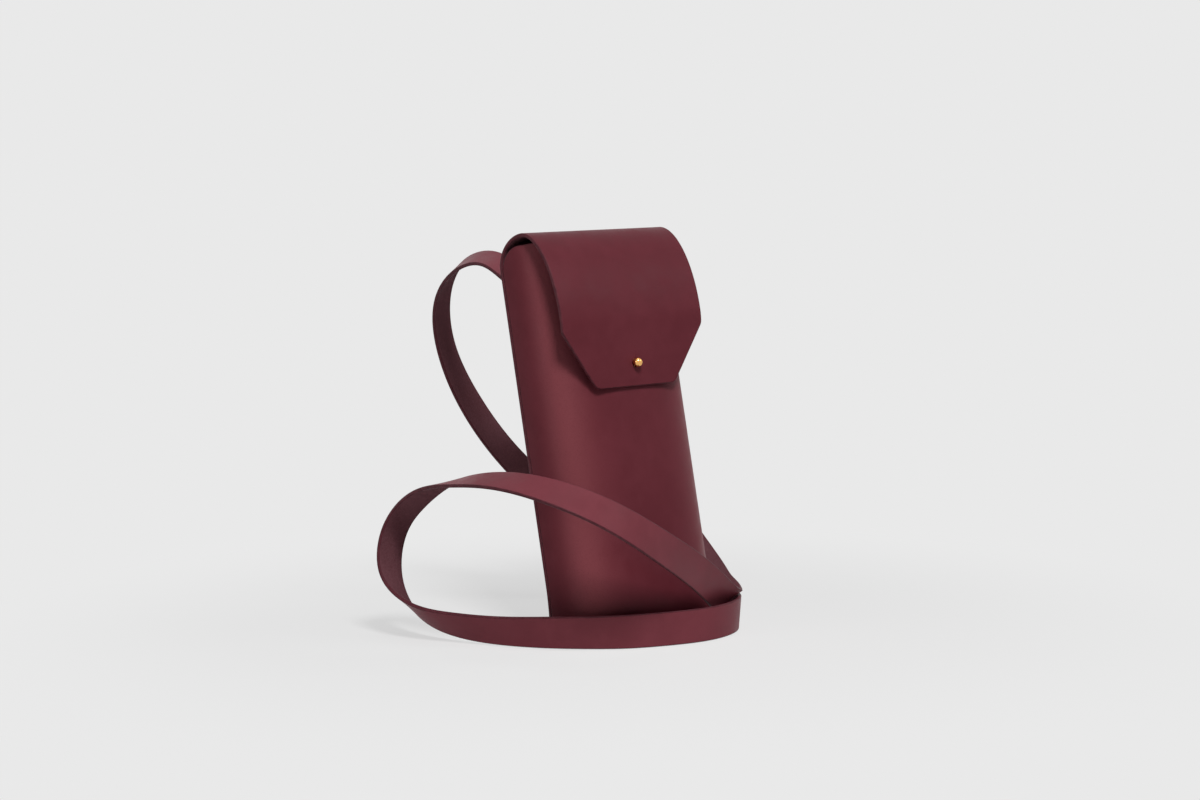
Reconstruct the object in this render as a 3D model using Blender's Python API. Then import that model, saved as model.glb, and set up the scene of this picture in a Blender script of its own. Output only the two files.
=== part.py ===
"""Leather sling pouch: a leaning pouch with a fold-over flap, a ball stud and a strap left in loose loops."""
import bpy
import bmesh
import numpy as np
from math import acos, asin, ceil, cos, hypot, pi, radians, sin, sqrt, tan
from mathutils import Vector

# Leather and running gaps, metres throughout
LEATHER = 0.002
GAP = 0.0003
CUT_MARGIN = 0.001

# Pouch: D-shaped in plan, its back leaning away from a base that stands flat
WIDTH = 0.100
DEPTH = 0.037
NOSE_EXPONENT = 3.0
NOSE_COLUMNS = 40
LEAN = radians(12.58)
FOOT_BEND_RADIUS = 0.136
FOOT_ROWS = 4
RIM_ABOVE_HINGE = 0.0113
RIM_CORNER_REACH = 0.014
RIM_CORNER_RISE = 0.0145
RIM_SCOOP_START = 0.024
RIM_SCOOP_DROP = 0.0135
RIM_SCOOP_POWER = 1.8
BASE_THICKNESS = 0.0025

# Flap: rolls over the mouth, drops down the front and tucks in towards its tip
HINGE_HEIGHT = 0.200
ROLL_REACH = 0.020
ROLL_RISE = 0.0172
FLAP_STAND_OFF = 0.0074
FLAP_NOSE_DROP = 0.032
TUCK_ANGLE = radians(8)
TUCK_RADIUS = 0.040
FLAP_TIP_DROP = 0.0707
FLAP_CLIP_DROP = 0.040
FLAP_CLIP_REACH = 0.022
FLAP_CORNER_RADIUS = 0.006
FLAP_COLUMN_SHARES = (-1.0, -0.6, -0.2, 0.2, 0.6, 1.0)

# Ball stud, its screw, and the keyhole that slips over it
STUD_ABOVE_TIP = 0.0123
STUD_BALL_RADIUS = 0.0026
STUD_BALL_LIFT = 0.0058
STUD_NECK_RADIUS = 0.0015
STUD_FOOT_RADIUS = 0.0032
STUD_FOOT_THICKNESS = 0.0012
STUD_THREAD_DEPTH = 0.003
SCREW_RADIUS = 0.00085
SCREW_HEAD_RADIUS = 0.004
SCREW_HEAD_THICKNESS = 0.001
KEYHOLE_RADIUS = 0.0024
KEYHOLE_SLIT_WIDTH = 0.001
KEYHOLE_SLIT_LENGTH = 0.0091

# Strap: one flat strip, both ends led in through slots in the back panel
STRAP_WIDTH = 0.018
STRAP_STEP = 0.006
STRAP_CORNER_RADIUS = 0.003
SLOT_DROP = 0.010
SLOT_MARGIN = 0.0074
SLOT_LENGTH = 0.0192
SLOT_OPENING = 0.0054
SLOT_CORNER_RADIUS = 0.0008
STRAP_EXIT_ANGLE = radians(35)
STRAP_EXIT_RUN = 0.006
STRAP_TURN_RADIUS = 0.0026
TAB_LENGTH = 0.030

# Rivets that hold the strap's end tabs to the back panel
RIVET_DROPS = {"lower": 0.024, "upper": 0.012}
RIVET_RADIUS = 0.001
RIVET_HEAD_RADIUS = 0.003
RIVET_HEAD_THICKNESS = 0.0008
RIVET_CAP_THICKNESS = 0.0012
RIVET_CAP_DOME = 0.0004
RIVET_REACH = 0.0005

# The strap's way from the left slot to the right one. Each row holds x, y and z in pouch widths from the
# middle of the base, then the direction across the strip; None for z stands the strip's edge on the floor.
STRAP_ROUTE_SHARES = (
    # up and back out of the left slot, then over and down behind the pouch
    (-0.33, 0.84, 1.99, (-1.00, 0.00, -0.20)),
    (-0.32, 1.15, 1.95, (-0.85, -0.10, -0.50)),
    (-0.24, 1.42, 1.72, (-0.85, -0.25, -0.50)),
    (-0.11, 1.53, 1.42, (-0.85, -0.35, -0.45)),
    (0.05, 1.52, 1.12, (-0.85, -0.25, -0.45)),
    (0.21, 1.42, 0.85, (-0.85, -0.20, -0.45)),
    (0.40, 1.23, 0.57, (-0.82, -0.13, -0.53)),
    (0.56, 1.01, 0.30, (-0.72, -0.05, -0.68)),
    (0.68, 0.76, 0.13, (-0.45, 0.05, -0.88)),
    # on its edge on the floor: forward past the right side, across the front, out to the left
    (0.74, 0.47, None, (-0.15, 0.05, -1.00)),
    (0.735, 0.22, None, (-0.05, 0.02, -1.00)),
    (0.685, 0.04, None, (-0.04, 0.03, -1.00)),
    (0.59, -0.12, None, (-0.05, 0.04, -1.00)),
    (0.485, -0.235, None, (-0.05, 0.05, -1.00)),
    (0.36, -0.305, None, (-0.03, 0.04, -1.00)),
    (0.13, -0.34, None, (0.00, 0.00, -1.00)),
    (-0.12, -0.29, None, (0.00, 0.00, -1.00)),
    (-0.31, -0.22, None, (0.05, 0.05, -1.00)),
    (-0.46, -0.12, None, (0.10, 0.15, -1.00)),
    (-0.60, 0.01, None, (0.20, 0.15, -0.95)),
    (-0.75, 0.21, None, (0.35, 0.20, -0.90)),
    # the loop at the left: up, over and forward
    (-0.89, 0.49, 0.10, (0.50, 0.30, -0.80)),
    (-0.98, 0.76, 0.17, (0.75, 0.40, -0.50)),
    (-0.99, 0.93, 0.34, (0.95, 0.20, -0.20)),
    (-0.96, 0.93, 0.56, (1.00, 0.05, -0.10)),
    (-0.94, 0.81, 0.71, (1.00, -0.05, -0.15)),
    (-0.94, 0.54, 0.85, (1.00, 0.00, 0.05)),
    (-0.95, 0.36, 0.89, (1.00, 0.05, 0.20)),
    (-0.92, -0.02, 0.92, (0.90, 0.15, 0.35)),
    (-0.71, -0.41, 0.81, (0.65, 0.35, 0.65)),
    # down across the front of the pouch to the right
    (-0.27, -0.46, 0.56, (0.45, 0.15, 0.90)),
    (0.11, -0.34, 0.36, (0.50, -0.05, 0.85)),
    (0.28, -0.27, 0.26, (0.55, -0.15, 0.80)),
    (0.40, -0.21, 0.19, (0.55, -0.30, 0.75)),
    # the low turn at the right, over the strand on the floor, and up behind the pouch
    (0.48, -0.165, 0.160, (0.62, -0.42, 0.63)),
    (0.525, -0.11, 0.173, (0.67, -0.49, 0.54)),
    (0.585, 0.015, 0.200, (0.66, -0.50, 0.55)),
    (0.655, 0.15, 0.240, (0.65, -0.50, 0.57)),
    (0.735, 0.45, 0.41, (0.65, -0.50, 0.57)),
    (0.75, 0.70, 0.62, (0.72, -0.45, 0.55)),
    (0.71, 0.93, 0.865, (0.83, -0.30, 0.48)),
    (0.59, 1.15, 1.25, (0.90, -0.05, 0.40)),
    (0.41, 1.08, 1.71, (0.95, 0.00, 0.35)),
)

FORWARD = Vector((0, -cos(LEAN), sin(LEAN)))
UP_PANEL = Vector((0, sin(LEAN), cos(LEAN)))
ACROSS = Vector((1, 0, 0))
BEND_TOP = FOOT_BEND_RADIUS * tan(LEAN)
BACK_FACE_Y = DEPTH / 2

# The rim, the flap's turns and the slots are set from the fold, and the tabs and rivets from the slots
RIM_HEIGHT = HINGE_HEIGHT + RIM_ABOVE_HINGE
FLAP_NOSE = DEPTH + FLAP_STAND_OFF
FLAP_NOSE_HEIGHT = HINGE_HEIGHT - FLAP_NOSE_DROP
FLAP_TIP_HEIGHT = HINGE_HEIGHT - FLAP_TIP_DROP
FLAP_CLIP_HEIGHT = HINGE_HEIGHT - FLAP_CLIP_DROP
FLAP_TIP_HALF_WIDTH = WIDTH / 2 - FLAP_CLIP_REACH
STUD_HEIGHT = FLAP_TIP_HEIGHT + STUD_ABOVE_TIP
KEYHOLE_SLIT_TOP = STUD_HEIGHT + KEYHOLE_SLIT_LENGTH
SLOT_HEIGHT_UP = HINGE_HEIGHT - SLOT_DROP
SLOT_SPREAD = WIDTH / 2 - SLOT_MARGIN - SLOT_LENGTH / 2
TAB_BOTTOM = SLOT_HEIGHT_UP - TAB_LENGTH
RIVET_HEIGHTS = {row: SLOT_HEIGHT_UP - drop for row, drop in RIVET_DROPS.items()}


def place(x, depth, height):
    """A point given across the pouch, forward from the back panel's rear face, and up along that face."""
    if height >= BEND_TOP:
        foot = Vector((0, BACK_FACE_Y + FOOT_BEND_RADIUS * (1 - 1 / cos(LEAN)), 0))
        return foot + ACROSS * x + FORWARD * depth + UP_PANEL * height
    turn = LEAN * height / BEND_TOP
    y = BACK_FACE_Y + FOOT_BEND_RADIUS * (1 - cos(turn)) - depth * cos(turn)
    z = FOOT_BEND_RADIUS * sin(turn) + depth * sin(turn)
    return Vector((x, y, z))


def clear_scene():
    for item in list(bpy.data.objects):
        bpy.data.objects.remove(item, do_unlink=True)


def make_material(name, colour, roughness, metallic=0.0):
    material = bpy.data.materials.new(name)
    material.use_nodes = True
    shader = next(n for n in material.node_tree.nodes if n.type == "BSDF_PRINCIPLED")
    shader.inputs["Base Color"].default_value = (*colour, 1)
    shader.inputs["Roughness"].default_value = roughness
    shader.inputs["Metallic"].default_value = metallic
    return material


def add_object(name, vertices, faces, material=None, origin=(0, 0, 0), smooth=35):
    mesh = bpy.data.meshes.new(name)
    origin = Vector(origin)
    mesh.from_pydata([Vector(v) - origin for v in vertices], [], faces)
    build = bmesh.new()
    build.from_mesh(mesh)
    bmesh.ops.recalc_face_normals(build, faces=build.faces)
    build.to_mesh(mesh)
    build.free()
    mesh.shade_smooth()
    mesh.set_sharp_from_angle(angle=radians(smooth))
    item = bpy.data.objects.new(name, mesh)
    item.location = origin
    item.parent = ROOT
    bpy.context.scene.collection.objects.link(item)
    if material:
        mesh.materials.append(material)
    return item


def cut(item, tool):
    tool.hide_render = True
    tool.display_type = "WIRE"
    boolean = item.modifiers.new("cut " + tool.name, "BOOLEAN")
    boolean.operation = "DIFFERENCE"
    boolean.solver = "EXACT"
    boolean.object = tool


def sheet_faces(rows, columns):
    """Faces of a closed sheet whose outer grid of points is followed by its inner one."""
    side = rows * columns
    faces = []
    for i in range(rows - 1):
        for j in range(columns - 1):
            a = i * columns + j
            faces.append((a, a + 1, a + columns + 1, a + columns))
            faces.append((side + a, side + a + columns, side + a + columns + 1, side + a + 1))
    border = [j for j in range(columns - 1)]
    border += [i * columns + columns - 1 for i in range(rows - 1)]
    border += [(rows - 1) * columns + j for j in range(columns - 1, 0, -1)]
    border += [i * columns for i in range(rows - 1, 0, -1)]
    for a, b in zip(border, border[1:] + border[:1]):
        faces.append((a, side + a, side + b, b))
    return faces


def sheet(name, outer, inner, material, origin=(0, 0, 0), smooth=35):
    rows = len(outer)
    columns = len(outer[0])
    vertices = [p for row in outer for p in row] + [p for row in inner for p in row]
    return add_object(name, vertices, sheet_faces(rows, columns), material, origin, smooth)


def prism(name, low, high, material=None):
    """A closed solid between two outlines of equal length."""
    count = len(low)
    ring = list(range(count))
    faces = [tuple(reversed(ring)), tuple(count + k for k in ring)]
    faces += [(k, (k + 1) % count, count + (k + 1) % count, count + k) for k in ring]
    return add_object(name, list(low) + list(high), faces, material)


def round_corners(points, radius, steps):
    """An open line with each inner corner rounded to the radius."""
    line = [Vector(points[0])]
    for a, b, c in zip(points, points[1:], points[2:]):
        a, b, c = Vector(a), Vector(b), Vector(c)
        to_a = (a - b).normalized()
        to_c = (c - b).normalized()
        half = acos(max(-1, min(1, to_a.dot(to_c)))) / 2
        centre = b + (to_a + to_c).normalized() * (radius / sin(half))
        start = b + to_a * (radius / tan(half)) - centre
        end = b + to_c * (radius / tan(half)) - centre
        sweep = pi - 2 * half
        for k in range(steps + 1):
            share = k / steps
            line.append(centre + (start * sin(sweep * (1 - share)) + end * sin(sweep * share)) / sin(sweep))
    line.append(Vector(points[-1]))
    return line


def rounded_rectangle(half_width, half_height, radius, steps):
    points = []
    for sx, sy, first in ((1, 1, 0), (-1, 1, pi / 2), (-1, -1, pi), (1, -1, 3 * pi / 2)):
        for k in range(steps + 1):
            angle = first + pi / 2 * k / steps
            points.append((sx * (half_width - radius) + radius * cos(angle),
                           sy * (half_height - radius) + radius * sin(angle)))
    return points


def turned(name, profile, x, depth, height, material, sides=32):
    """A turned piece whose axis stands on the back panel's plane; the profile runs from axis to axis."""
    vertices = [Vector((0, 0, profile[0][1]))]
    for radius, along in profile[1:-1]:
        for k in range(sides):
            angle = 2 * pi * k / sides
            vertices.append(Vector((radius * cos(angle), radius * sin(angle), along)))
    vertices.append(Vector((0, 0, profile[-1][1])))
    rings = len(profile) - 2
    last = len(vertices) - 1
    faces = [(0, 1 + k, 1 + (k + 1) % sides) for k in range(sides)]
    for r in range(rings - 1):
        a = 1 + r * sides
        for k in range(sides):
            n = (k + 1) % sides
            faces.append((a + k, a + n, a + sides + n, a + sides + k))
    a = 1 + (rings - 1) * sides
    faces += [(last, a + (k + 1) % sides, a + k) for k in range(sides)]
    item = add_object(name, vertices, faces, material)
    item.location = place(x, depth, height)
    item.rotation_euler = (pi / 2 - LEAN, 0, 0)
    return item


def drill(name, radius, x, height, low, high, sides=24):
    profile = [(0, low), (radius, low), (radius, high), (0, high)]
    return turned(name, profile, x, 0, height, None, sides)


def nose_section():
    """Outer outline of the front panel in plan, left to right: (x, depth, normal x, normal depth)."""
    reach = DEPTH - LEATHER
    power = 2 / NOSE_EXPONENT
    first = asin((GAP / reach) ** (1 / power))
    angles = np.linspace(first, pi - first, 1200)
    x = -WIDTH / 2 * np.sign(np.cos(angles)) * np.abs(np.cos(angles)) ** power
    depth = LEATHER + reach * np.sin(angles) ** power
    step = np.hypot(np.diff(x), np.diff(depth))
    turn = np.abs(np.diff(np.unwrap(np.arctan2(np.diff(depth), np.diff(x)))))
    turn = np.concatenate([[turn[0]], turn])
    measure = np.concatenate([[0], np.cumsum(step / step.sum() + turn / turn.sum())])
    wanted = np.linspace(0, measure[-1], NOSE_COLUMNS + 1)
    x = np.interp(wanted, measure, x)
    depth = np.interp(wanted, measure, depth)
    grad_x = np.sign(x) * (np.abs(x) / (WIDTH / 2)) ** (NOSE_EXPONENT - 1) / (WIDTH / 2)
    grad_d = ((depth - LEATHER) / reach) ** (NOSE_EXPONENT - 1) / reach
    size = np.hypot(grad_x, grad_d)
    return list(zip(x, depth, grad_x / size, grad_d / size))


def rim_height(depth):
    """Top edge of the front panel: rounded down at the back corners, scooped at the front."""
    run = min(RIM_CORNER_REACH, depth - LEATHER)
    share = 1 - run / RIM_CORNER_REACH
    scoop = max(0, depth - RIM_SCOOP_START) / (DEPTH - RIM_SCOOP_START)
    height = RIM_HEIGHT - RIM_CORNER_RISE + RIM_CORNER_RISE * sqrt(1 - share * share)
    return height - RIM_SCOOP_DROP * scoop ** RIM_SCOOP_POWER


def build_back_panel(leather):
    heights = [BEND_TOP * k / FOOT_ROWS for k in range(FOOT_ROWS + 1)] + [HINGE_HEIGHT - GAP / 2]
    shares = (-1, 0, 1)
    front = [[place(WIDTH / 2 * s, LEATHER, h) for s in shares] for h in heights]
    rear = [[place(WIDTH / 2 * s, 0, h) for s in shares] for h in heights]
    panel = sheet("back_panel", front, rear, leather)
    low, high = -CUT_MARGIN, LEATHER + CUT_MARGIN
    for side, sign in (("left", -1), ("right", 1)):
        outline = rounded_rectangle(SLOT_LENGTH / 2, SLOT_OPENING / 2, SLOT_CORNER_RADIUS, 3)
        ends = [[place(sign * SLOT_SPREAD + x, d, SLOT_HEIGHT_UP + h) for x, h in outline] for d in (low, high)]
        cut(panel, prism("slot_cutter_" + side, *ends))
        for row, height in RIVET_HEIGHTS.items():
            name = "panel_bore_cutter_" + side + "_" + row
            cut(panel, drill(name, RIVET_RADIUS + GAP, sign * SLOT_SPREAD, height, low, high))
    return panel


def build_front_panel(leather):
    section = nose_section()
    bend = [BEND_TOP * k / FOOT_ROWS for k in range(FOOT_ROWS + 1)]
    outer, inner = [], []
    for row in range(len(bend) + 1):
        out_row, in_row = [], []
        for x, depth, nx, nd in section:
            height = bend[row] if row < len(bend) else rim_height(depth)
            out_row.append(place(x, depth, height))
            in_depth = max(LEATHER + GAP, depth - LEATHER * nd)
            in_row.append(place(x - LEATHER * nx, in_depth, height))
        outer.append(out_row)
        inner.append(in_row)
    panel = sheet("front_panel", outer, inner, leather, smooth=30)
    low, high = DEPTH - LEATHER - CUT_MARGIN, DEPTH + CUT_MARGIN
    cut(panel, drill("stud_bore_cutter", SCREW_RADIUS + GAP, 0, STUD_HEIGHT, low, high))
    return panel


def build_base_panel(leather):
    """The bottom: a D-shaped plate inside the walls, flush with their lower edges."""
    outline = []
    for x, depth, nx, nd in nose_section():
        inset = LEATHER + GAP
        outline.append((x - inset * nx, max(LEATHER + GAP, depth - inset * nd)))
    low = [Vector((x, BACK_FACE_Y - d, 0)) for x, d in outline]
    high = [Vector((x, BACK_FACE_Y - d, BASE_THICKNESS)) for x, d in outline]
    return prism("base_panel", low, high, leather)


def flap_profile():
    """The flap's outer line from fold to tip: (depth, height, normal depth, normal height)."""
    line = []
    first = asin(GAP / 2 / ROLL_RISE)
    for k in range(9):
        t = first + (pi / 2 - first) * k / 8
        line.append((ROLL_REACH * (1 - cos(t)), HINGE_HEIGHT + ROLL_RISE * sin(t),
                     -ROLL_RISE * cos(t), ROLL_REACH * sin(t)))
    reach = FLAP_NOSE - ROLL_REACH
    rise = HINGE_HEIGHT + ROLL_RISE - FLAP_NOSE_HEIGHT
    for k in range(1, 13):
        t = pi / 2 * (1 - k / 12)
        line.append((ROLL_REACH + reach * cos(t), FLAP_NOSE_HEIGHT + rise * sin(t), rise * cos(t), reach * sin(t)))
    for k in range(1, 4):
        t = TUCK_ANGLE * k / 3
        line.append((FLAP_NOSE - TUCK_RADIUS * (1 - cos(t)), FLAP_NOSE_HEIGHT - TUCK_RADIUS * sin(t),
                     cos(t), -sin(t)))
    depth, height, nd, nh = line[-1]
    run = height - FLAP_TIP_HEIGHT
    line.append((depth - run * tan(TUCK_ANGLE), FLAP_TIP_HEIGHT, nd, nh))
    return [(d, h, a / hypot(a, b), b / hypot(a, b)) for d, h, a, b in line]


def flap_side():
    """The flap's right edge below its fold: (half width, height), corners rounded."""
    slope = cos(TUCK_ANGLE)
    top = (WIDTH / 2, FLAP_CLIP_HEIGHT / slope + FLAP_CORNER_RADIUS)
    points = [top, (WIDTH / 2, FLAP_CLIP_HEIGHT / slope), (FLAP_TIP_HALF_WIDTH, FLAP_TIP_HEIGHT / slope),
              (0, FLAP_TIP_HEIGHT / slope)]
    line = round_corners([(*p, 0) for p in points], FLAP_CORNER_RADIUS, 5)
    return [(p.x, p.y * slope) for p in line[:-1]]


def build_flap(leather):
    profile = flap_profile()
    side = flap_side()
    heights = [p[1] for p in side if p[1] < profile[-2][1]]
    stations = profile[:-1]
    upper, tip = profile[-2], profile[-1]
    for height in heights:
        share = (upper[1] - height) / (upper[1] - tip[1])
        stations.append((upper[0] + (tip[0] - upper[0]) * share, height, tip[2], tip[3]))
    side_h = [p[1] for p in reversed(side)]
    side_x = [p[0] for p in reversed(side)]
    outer, inner = [], []
    for depth, height, nd, nh in stations:
        half = float(np.interp(height, side_h, side_x))
        outer.append([place(half * s, depth, height) for s in FLAP_COLUMN_SHARES])
        inner.append([place(half * s, depth - LEATHER * nd, height - LEATHER * nh) for s in FLAP_COLUMN_SHARES])
    hinge = place(0, 0, HINGE_HEIGHT)
    flap = sheet("flap", outer, inner, leather, origin=hinge)
    outline = []
    mouth = asin(KEYHOLE_SLIT_WIDTH / 2 / KEYHOLE_RADIUS)
    for k in range(25):
        angle = mouth + (2 * pi - 2 * mouth) * k / 24
        outline.append((KEYHOLE_RADIUS * sin(angle), STUD_HEIGHT + KEYHOLE_RADIUS * cos(angle)))
    outline.append((-KEYHOLE_SLIT_WIDTH / 2, KEYHOLE_SLIT_TOP))
    outline.append((KEYHOLE_SLIT_WIDTH / 2, KEYHOLE_SLIT_TOP))
    low, high = DEPTH, FLAP_NOSE + CUT_MARGIN
    ends = [[place(x, d, h) for x, h in outline] for d in (low, high)]
    cut(flap, prism("keyhole_cutter", *ends))
    return flap


def build_stud(brass):
    foot = STUD_FOOT_THICKNESS
    ball = STUD_BALL_LIFT
    bore = SCREW_RADIUS + GAP
    join = asin(STUD_NECK_RADIUS / STUD_BALL_RADIUS)
    profile = [(0, STUD_THREAD_DEPTH), (bore, STUD_THREAD_DEPTH), (bore, GAP), (STUD_FOOT_RADIUS, GAP),
               (STUD_FOOT_RADIUS, foot), (STUD_NECK_RADIUS, foot)]
    for k in range(14):
        angle = join + (pi - join) * k / 14
        profile.append((STUD_BALL_RADIUS * sin(angle), ball - STUD_BALL_RADIUS * cos(angle)))
    profile.append((0, ball + STUD_BALL_RADIUS))
    turned("closure_stud", profile, 0, DEPTH, STUD_HEIGHT, brass)
    inside = -LEATHER - GAP
    reach = STUD_THREAD_DEPTH - GAP
    profile = [(0, inside - SCREW_HEAD_THICKNESS), (SCREW_HEAD_RADIUS, inside - SCREW_HEAD_THICKNESS),
               (SCREW_HEAD_RADIUS, inside), (SCREW_RADIUS, inside), (SCREW_RADIUS, reach), (0, reach)]
    turned("stud_screw", profile, 0, DEPTH, STUD_HEIGHT, brass, 24)


def build_rivets(brass):
    for side, sign in (("left", -1), ("right", 1)):
        for row, height in RIVET_HEIGHTS.items():
            head = 2 * LEATHER + 2 * GAP
            top = head + RIVET_HEAD_THICKNESS
            end = -GAP - RIVET_REACH
            profile = [(0, end), (RIVET_RADIUS, end), (RIVET_RADIUS, head), (RIVET_HEAD_RADIUS, head),
                       (RIVET_HEAD_RADIUS, top), (0, top)]
            turned("rivet_post_" + side + "_" + row, profile, sign * SLOT_SPREAD, 0, height, brass, 20)
            bore = RIVET_RADIUS + GAP
            back = -GAP - RIVET_CAP_THICKNESS
            profile = [(0, back), (RIVET_HEAD_RADIUS / 2, back + RIVET_CAP_DOME / 4),
                       (RIVET_HEAD_RADIUS, back + RIVET_CAP_DOME), (RIVET_HEAD_RADIUS, -GAP), (bore, -GAP),
                       (bore, end - GAP), (0, end - GAP)]
            turned("rivet_cap_" + side + "_" + row, profile, sign * SLOT_SPREAD, 0, height, brass, 20)


def smooth_curve(knots, values, at):
    """Natural cubic spline through the values, read at the wanted places."""
    count = len(knots)
    gaps = np.diff(knots)
    system = np.zeros((count, count))
    right = np.zeros((count, values.shape[1]))
    system[0, 0] = 1
    system[-1, -1] = 1
    for i in range(1, count - 1):
        system[i, i - 1:i + 2] = gaps[i - 1], 2 * (gaps[i - 1] + gaps[i]), gaps[i]
        right[i] = 6 * ((values[i + 1] - values[i]) / gaps[i] - (values[i] - values[i - 1]) / gaps[i - 1])
    bend = np.linalg.solve(system, right)
    i = np.clip(np.searchsorted(knots, at, side="right") - 1, 0, count - 2)
    h = gaps[i][:, None]
    a = (knots[i + 1] - at)[:, None] / h
    b = 1 - a
    curve = a * values[i] + b * values[i + 1]
    return curve + ((a ** 3 - a) * bend[i] + (b ** 3 - b) * bend[i + 1]) * h * h / 6


def strap_tab(side):
    """Centre line of the end tab, up inside the panel, round the turn and out through the slot."""
    x = side * SLOT_SPREAD
    flat = LEATHER + GAP + LEATHER / 2
    turn = pi / 2 - STRAP_EXIT_ANGLE
    end_depth = flat - STRAP_TURN_RADIUS * (1 - cos(turn))
    end_height = SLOT_HEIGHT_UP - (end_depth - LEATHER / 2) * tan(STRAP_EXIT_ANGLE)
    start_height = end_height - STRAP_TURN_RADIUS * sin(turn)
    line = []
    for share in (0, 0.15, 0.4, 1):
        line.append((flat, TAB_BOTTOM + STRAP_CORNER_RADIUS * share))
    for share in (0.3, 0.6, 0.9):
        line.append((flat, TAB_BOTTOM + (start_height - TAB_BOTTOM) * share))
    for k in range(7):
        a = turn * k / 6
        line.append((flat - STRAP_TURN_RADIUS * (1 - cos(a)), start_height + STRAP_TURN_RADIUS * sin(a)))
    return [np.array(place(x, d, h)) for d, h in line]


def strap_line():
    """Stations along the whole strap: centre, direction across, and distance from its nearer end."""
    out = -FORWARD * cos(STRAP_EXIT_ANGLE) + UP_PANEL * sin(STRAP_EXIT_ANGLE)
    through = SLOT_HEIGHT_UP + LEATHER / 2 * tan(STRAP_EXIT_ANGLE)
    points, across = [], []
    for side in (-1, 1):
        exit_point = place(side * SLOT_SPREAD, 0, through)
        pair = [exit_point, exit_point + out * STRAP_EXIT_RUN]
        points.append([np.array(p) for p in pair])
        across.append([np.array((side, 0, 0))] * 2)
    free, free_across = [], []
    for x, y, z, row_across in STRAP_ROUTE_SHARES:
        direction = np.array(row_across) / np.linalg.norm(row_across)
        tilt = hypot(direction[0], direction[1])
        height = STRAP_WIDTH / 2 * abs(direction[2]) + LEATHER / 2 * tilt + GAP if z is None else z * WIDTH
        free.append(np.array((x * WIDTH, y * WIDTH, height)))
        free_across.append(direction)
    points = np.array(points[0] + free + points[1][::-1])
    across = np.array(across[0] + free_across + across[1][::-1], float)
    knots = np.concatenate([[0], np.cumsum(np.linalg.norm(np.diff(points, axis=0), axis=1))])
    count = ceil(knots[-1] / STRAP_STEP)
    at = np.linspace(0, knots[-1], count + 1)
    centre = smooth_curve(knots, points, at)
    wide = smooth_curve(knots, across, at)
    left, right = strap_tab(-1), strap_tab(1)
    centre = np.concatenate([left, centre, right[::-1]])
    wide = np.concatenate([[(-1, 0, 0)] * len(left), wide, [(1, 0, 0)] * len(right)])
    run = np.concatenate([[0], np.cumsum(np.linalg.norm(np.diff(centre, axis=0), axis=1))])
    return centre, wide, run


def build_strap(leather):
    centre, wide, run = strap_line()
    along = np.gradient(centre, run, axis=0)
    along /= np.linalg.norm(along, axis=1)[:, None]
    along[0] = along[1]
    along[-1] = along[-2]
    wide = wide - (wide * along).sum(1)[:, None] * along
    wide /= np.linalg.norm(wide, axis=1)[:, None]
    normal = np.cross(along, wide)
    end = np.minimum(run, run[-1] - run)
    short = STRAP_CORNER_RADIUS - np.minimum(end, STRAP_CORNER_RADIUS)
    inset = STRAP_CORNER_RADIUS - np.sqrt(STRAP_CORNER_RADIUS ** 2 - short ** 2)
    half = (STRAP_WIDTH / 2 - inset)[:, None] * wide
    thick = LEATHER / 2 * normal
    outer = [[Vector(p + t - h), Vector(p + t + h)] for p, t, h in zip(centre, thick, half)]
    inner = [[Vector(p - t - h), Vector(p - t + h)] for p, t, h in zip(centre, thick, half)]
    strap = sheet("strap", outer, inner, leather)
    low, high = LEATHER - CUT_MARGIN, 2 * LEATHER + CUT_MARGIN
    for side, sign in (("left", -1), ("right", 1)):
        for row, height in RIVET_HEIGHTS.items():
            name = "tab_bore_cutter_" + side + "_" + row
            cut(strap, drill(name, RIVET_RADIUS + GAP, sign * SLOT_SPREAD, height, low, high))
    return strap


clear_scene()
ROOT = bpy.data.objects.new("pouch", None)
bpy.context.scene.collection.objects.link(ROOT)

build_back_panel(make_material("back_leather", (0.115, 0.026, 0.035), 0.55))
build_front_panel(make_material("front_leather", (0.115, 0.026, 0.035), 0.55))
build_base_panel(make_material("base_leather", (0.100, 0.024, 0.032), 0.6))
build_flap(make_material("flap_leather", (0.120, 0.028, 0.037), 0.52))
build_strap(make_material("strap_leather", (0.118, 0.027, 0.036), 0.55))
build_stud(make_material("stud_brass", (0.75, 0.48, 0.20), 0.18, 1.0))
build_rivets(make_material("rivet_brass", (0.70, 0.46, 0.20), 0.28, 1.0))
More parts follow.
